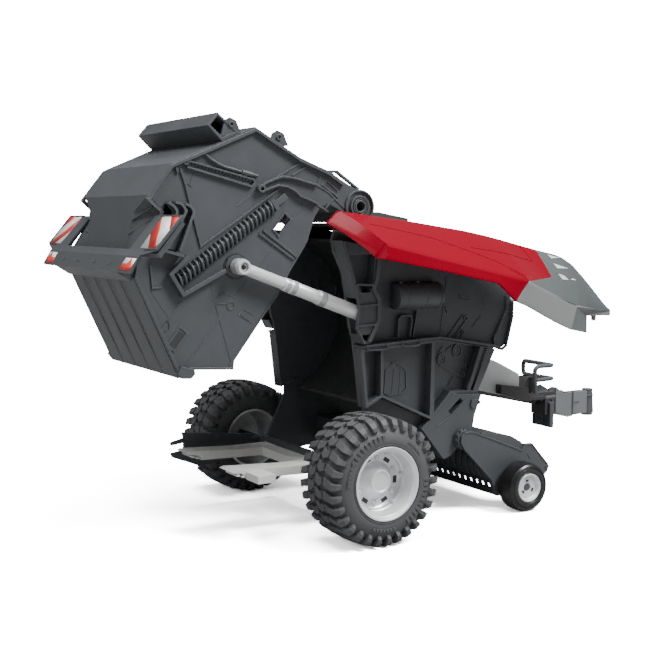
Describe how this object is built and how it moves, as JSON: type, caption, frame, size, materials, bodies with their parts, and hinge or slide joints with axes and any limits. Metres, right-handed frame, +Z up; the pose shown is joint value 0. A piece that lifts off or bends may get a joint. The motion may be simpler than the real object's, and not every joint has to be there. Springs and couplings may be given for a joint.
{
  "type": "toy round baler",
  "caption": "Toy round baler for towing behind a toy tractor, with a lifting tailgate, raising side doors, pickup with gauge wheels and parking jack.",
  "frame": {"origin": "on the ground, under the middle of the toy's bounding box", "axes": "+X forwards to the hitch, +Y to the left, +Z up"},
  "size_m": [0.3934, 0.2012, 0.245],
  "materials": {
    "dark_grey": "satin",
    "red": "gloss",
    "light_grey": "satin",
    "silver": "satin",
    "tyre": "matte"
  },
  "bodies": {
    "chassis": {"chamber_wall_right": "dark_grey", "chamber_wall_left": "dark_grey", "pillars": "dark_grey", "side_shelves": "dark_grey", "front_channels": "dark_grey", "lower_sides": "dark_grey", "frame_plates": "dark_grey", "lower_brackets": "dark_grey", "chamber_front": "dark_grey", "roof_panel": "dark_grey", "front_panel": "dark_grey", "hinge_shaft": "dark_grey", "shaft_blocks": "dark_grey", "side_tanks": "dark_grey", "axle": "dark_grey", "cross_member": "dark_grey", "bale_forks": "light_grey", "catch_plate": "dark_grey", "drawbar_beam": "dark_grey", "drawbar_gussets": "dark_grey", "drawbar_deck": "dark_grey", "hose_holder": "dark_grey", "hitch": "dark_grey"},
    "tailgate": {"tailgate_side_right": "dark_grey", "tailgate_side_left": "dark_grey", "marker_board_right": "dark_grey", "marker_board_left": "dark_grey", "tailgate_roof": "dark_grey", "upper_rear_panel": "dark_grey", "lower_rear_panel": "dark_grey", "rear_ledge": "dark_grey", "top_beam": "dark_grey", "tension_arms": "dark_grey", "tension_springs": "dark_grey"},
    "pickup": {"pickup_side_right": "dark_grey", "pickup_side_left": "dark_grey", "pickup_guard": "dark_grey", "pickup_comb": "dark_grey"},
    "pickup_reel": {"pickup_reel": "dark_grey"},
    "jack": {"jack_leg": "dark_grey"},
    "wheel_right": {"tyre_right": "tyre", "rim_right": "silver"},
    "gauge_wheel_right": {"gauge_tyre_right": "tyre", "gauge_hub_right": "silver"},
    "cylinder_barrel_right": {"cylinder_barrel_right": "silver"},
    "cylinder_tube_right": {"cylinder_tube_right": "silver"},
    "cylinder_rod_right": {"cylinder_rod_right": "silver"},
    "door_right": {"door_right": "red", "door_nose_right": "light_grey"},
    "wheel_left": {"tyre_left": "tyre", "rim_left": "silver"},
    "gauge_wheel_left": {"gauge_tyre_left": "tyre", "gauge_hub_left": "silver"},
    "cylinder_barrel_left": {"cylinder_barrel_left": "silver"},
    "cylinder_tube_left": {"cylinder_tube_left": "silver"},
    "cylinder_rod_left": {"cylinder_rod_left": "silver"},
    "door_left": {"door_left": "red", "door_nose_left": "light_grey"}
  },
  "joints": [
    {"name": "tailgate_hinge", "type": "hinge", "parent": "chassis", "child": "tailgate", "pos_m": [-0.0431, 0, 0.1938], "axis": [0, -1, 0], "range_deg": [0, 43.7]},
    {"name": "pickup_hinge", "type": "hinge", "parent": "chassis", "child": "pickup", "pos_m": [0.0305, 0, 0.048], "axis": [0, -1, 0], "range_deg": [0, 8]},
    {"name": "jack_slide", "type": "slide", "parent": "chassis", "child": "jack", "axis": [0, 0, -1], "range_m": [0, 0.012]},
    {"name": "reel_spin", "type": "hinge", "parent": "pickup", "child": "pickup_reel", "pos_m": [0.0693, 0, 0.027], "axis": [0, 1, 0], "continuous": true},
    {"name": "wheel_right_spin", "type": "hinge", "parent": "chassis", "child": "wheel_right", "pos_m": [-0.0551, -0.0804, 0.0375], "axis": [0, 1, 0], "continuous": true},
    {"name": "gauge_wheel_right_spin", "type": "hinge", "parent": "pickup", "child": "gauge_wheel_right", "pos_m": [0.0693, -0.0707, 0.01565], "axis": [0, 1, 0], "continuous": true},
    {"name": "barrel_right_trunnion", "type": "hinge", "parent": "chassis", "child": "cylinder_barrel_right", "pos_m": [-0.0431, -0.0556, 0.1294], "axis": [0, -1, 0], "range_deg": [0, 45.31]},
    {"name": "tube_right_slide", "type": "slide", "parent": "cylinder_barrel_right", "child": "cylinder_tube_right", "axis": [0.9366, 0, -0.3505], "range_m": [0, 0.02396]},
    {"name": "rod_right_slide", "type": "slide", "parent": "cylinder_tube_right", "child": "cylinder_rod_right", "axis": [0.9366, 0, -0.3505], "range_m": [0, 0.02396]},
    {"name": "door_right_hinge", "type": "hinge", "parent": "chassis", "child": "door_right", "pos_m": [-0.0601, -0.05, 0.1795], "axis": [0.989, 0, -0.1478], "range_deg": [0, 55]},
    {"name": "wheel_left_spin", "type": "hinge", "parent": "chassis", "child": "wheel_left", "pos_m": [-0.0551, 0.0804, 0.0375], "axis": [0, 1, 0], "continuous": true},
    {"name": "gauge_wheel_left_spin", "type": "hinge", "parent": "pickup", "child": "gauge_wheel_left", "pos_m": [0.0693, 0.0707, 0.01565], "axis": [0, 1, 0], "continuous": true},
    {"name": "barrel_left_trunnion", "type": "hinge", "parent": "chassis", "child": "cylinder_barrel_left", "pos_m": [-0.0431, 0.0556, 0.1294], "axis": [0, -1, 0], "range_deg": [0, 45.31]},
    {"name": "tube_left_slide", "type": "slide", "parent": "cylinder_barrel_left", "child": "cylinder_tube_left", "axis": [0.9366, 0, -0.3505], "range_m": [0, 0.02396]},
    {"name": "rod_left_slide", "type": "slide", "parent": "cylinder_tube_left", "child": "cylinder_rod_left", "axis": [0.9366, 0, -0.3505], "range_m": [0, 0.02396]},
    {"name": "door_left_hinge", "type": "hinge", "parent": "chassis", "child": "door_left", "pos_m": [-0.0601, 0.05, 0.1795], "axis": [0.989, 0, -0.1478], "range_deg": [0, 55]}
  ],
  "couplings": [
    {"joint": "barrel_right_trunnion", "follows": "tailgate_hinge", "ratio": 1.0366},
    {"joint": "tube_right_slide", "follows": "tailgate_hinge", "m_per_rad": 0.031406},
    {"joint": "rod_right_slide", "follows": "tailgate_hinge", "m_per_rad": 0.031406},
    {"joint": "barrel_left_trunnion", "follows": "tailgate_hinge", "ratio": 1.0366},
    {"joint": "tube_left_slide", "follows": "tailgate_hinge", "m_per_rad": 0.031406},
    {"joint": "rod_left_slide", "follows": "tailgate_hinge", "m_per_rad": 0.031406}
  ]
}
